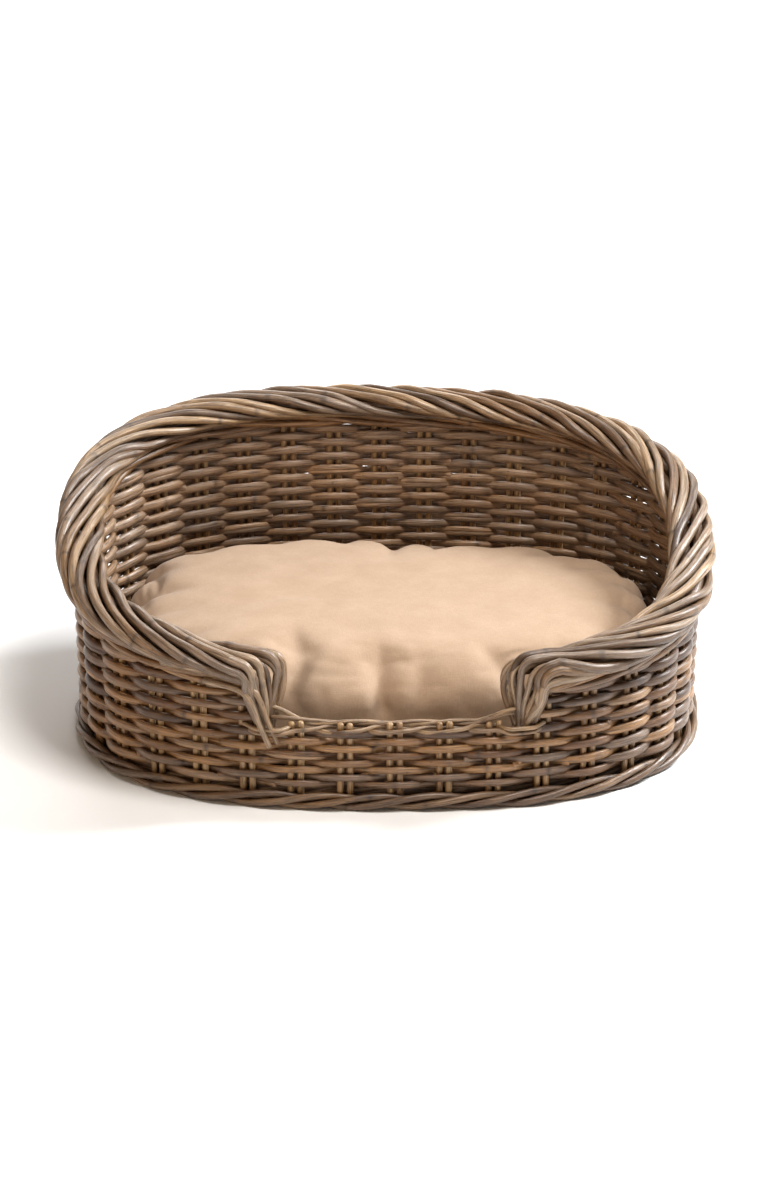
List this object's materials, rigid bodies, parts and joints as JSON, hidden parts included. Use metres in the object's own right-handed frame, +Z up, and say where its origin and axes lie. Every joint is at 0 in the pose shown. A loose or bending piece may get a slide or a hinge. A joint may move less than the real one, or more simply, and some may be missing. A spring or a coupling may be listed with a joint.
{
  "type": "wicker pet bed basket",
  "caption": "Oval woven rattan pet bed: stake-and-strand wall, rolled border sloping down to a low front sill with end wraps, waled foot, woven base and a loose zipped cushion.",
  "frame": {"origin": "on the floor under the middle of the basket's overall length and depth", "axes": "+X along the basket's length, towards the opening's right-hand end seen from the front; +Y towards the high back of the rim; +Z up"},
  "size_m": [0.748, 0.5366, 0.3059],
  "materials": {
    "stake_cane": "satin",
    "weave_cane": "satin",
    "rim_cane": "satin",
    "wale_cane": "satin",
    "hoop_cane": "matte",
    "foot_cane": "satin",
    "base_stick_cane": "matte",
    "base_cane": "matte",
    "cover_cotton": "matte",
    "pad_fill": "matte",
    "zip_tape": "matte",
    "zip_metal": "satin"
  },
  "bodies": {
    "basket": {"weave_row_01": "weave_cane", "weave_row_02": "weave_cane", "weave_row_03": "weave_cane", "weave_row_04": "weave_cane", "weave_row_05": "weave_cane", "weave_row_06": "weave_cane", "weave_row_07": "weave_cane", "weave_row_08": "weave_cane", "weave_row_09": "weave_cane", "weave_row_10": "weave_cane", "weave_row_11": "weave_cane", "weave_row_12": "weave_cane", "weave_row_13": "weave_cane", "weave_row_14": "weave_cane", "weave_row_15": "weave_cane", "weave_row_16": "weave_cane", "weave_row_17": "weave_cane", "weave_row_18": "weave_cane", "weave_row_19": "weave_cane", "weave_row_20": "weave_cane", "weave_row_21": "weave_cane", "weave_row_22": "weave_cane", "weave_row_23": "weave_cane", "weave_row_24": "weave_cane", "weave_row_25": "weave_cane", "weave_row_26": "weave_cane", "weave_row_27": "weave_cane", "stakes_sill": "stake_cane", "stakes_right": "stake_cane", "stakes_back": "stake_cane", "stakes_left": "stake_cane", "wrap_stub": "stake_cane", "rim_rods_right": "rim_cane", "rim_rods_back": "rim_cane", "rim_rods_left": "rim_cane", "end_wrap_right": "rim_cane", "end_wrap_left": "rim_cane", "rim_hoop_outer": "hoop_cane", "rim_hoop_inner": "hoop_cane", "base_hoop": "hoop_cane", "rim_wale_outer": "wale_cane", "rim_wale_inner": "wale_cane", "sill_strand_outer": "wale_cane", "sill_strand_inner": "wale_cane", "foot_strand_lower": "foot_cane", "foot_strand_middle": "foot_cane", "foot_strand_upper": "foot_cane", "foot_strand_inner": "foot_cane", "base_sticks": "base_stick_cane", "base_weave": "base_cane"},
    "cushion": {"cushion_cover": "cover_cotton", "cushion_pad": "pad_fill", "zip_tape": "zip_tape", "zip_teeth": "zip_metal"},
    "zip_runner": {"zip_slider": "zip_metal", "zip_pull": "zip_metal"}
  },
  "joints": [
    {"name": "cushion_lift", "type": "slide", "parent": "basket", "child": "cushion", "axis": [0, 0, 1], "range_m": [0, 0.3]},
    {"name": "zip_slide", "type": "slide", "parent": "cushion", "child": "zip_runner", "axis": [1, 0, 0], "range_m": [0, 0.19]}
  ]
}
